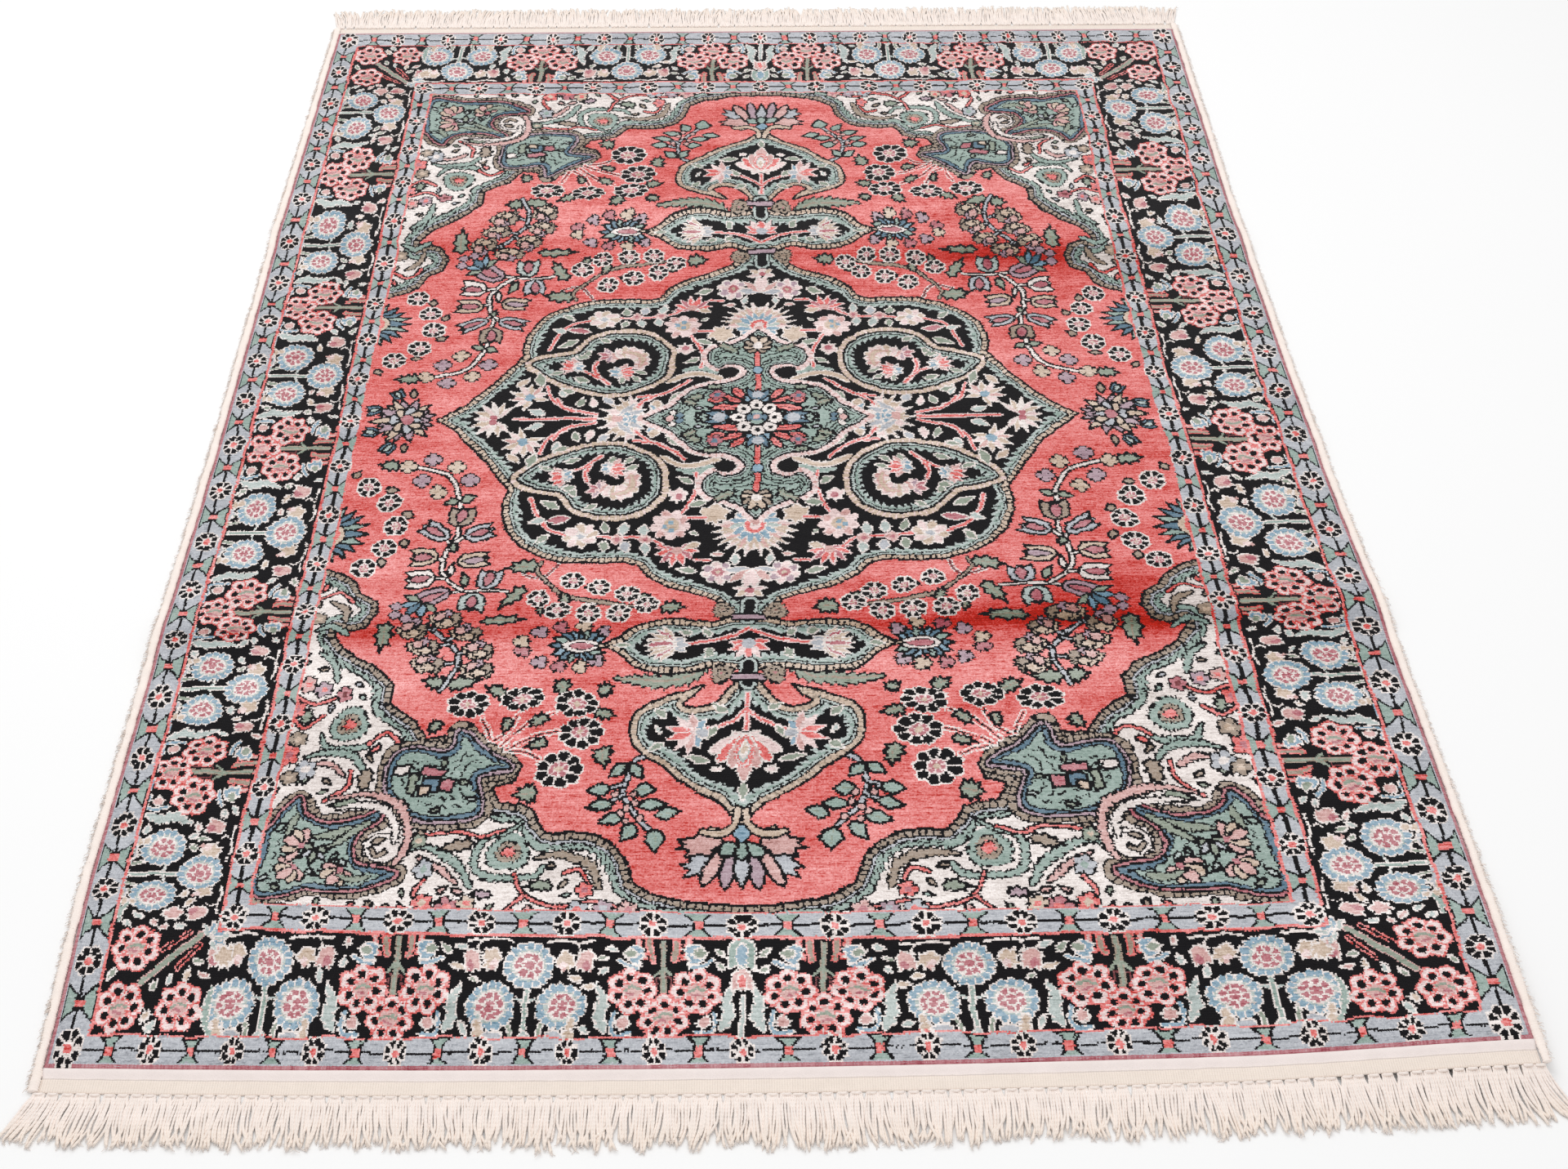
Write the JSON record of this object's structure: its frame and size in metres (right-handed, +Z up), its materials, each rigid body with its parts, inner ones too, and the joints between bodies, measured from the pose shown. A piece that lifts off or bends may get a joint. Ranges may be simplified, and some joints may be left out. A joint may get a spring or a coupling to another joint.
{
  "type": "indian rug",
  "caption": "Hand-knotted medallion rug with a red field, dark floral border, overcast sides, flat-woven ends and ivory fringe, lying flat.",
  "frame": {"origin": "on the floor under the middle of the rug's box, fringes included", "axes": "+Z up, +Y along the rug's length from the near end to the far end, +X across the rug to the right"},
  "size_m": [1.2768, 1.9938, 0.0145],
  "materials": {
    "knotted_pile": "knotted silk-like pile with a floral pattern, soft sheen",
    "overcast_yarn": "ivory yarn wrapped over the side cords, matt",
    "flat_weave": "ivory plain weave, matt",
    "fringe_yarn": "ivory twisted warp ends with loose tips, matt"
  },
  "bodies": {
    "root": {"pile_body": "knotted_pile", "selvedge_left": "overcast_yarn", "selvedge_right": "overcast_yarn", "kilim_near": "flat_weave", "kilim_far": "flat_weave", "fringe_near": "fringe_yarn", "fringe_far": "fringe_yarn"}
  },
  "joints": []
}
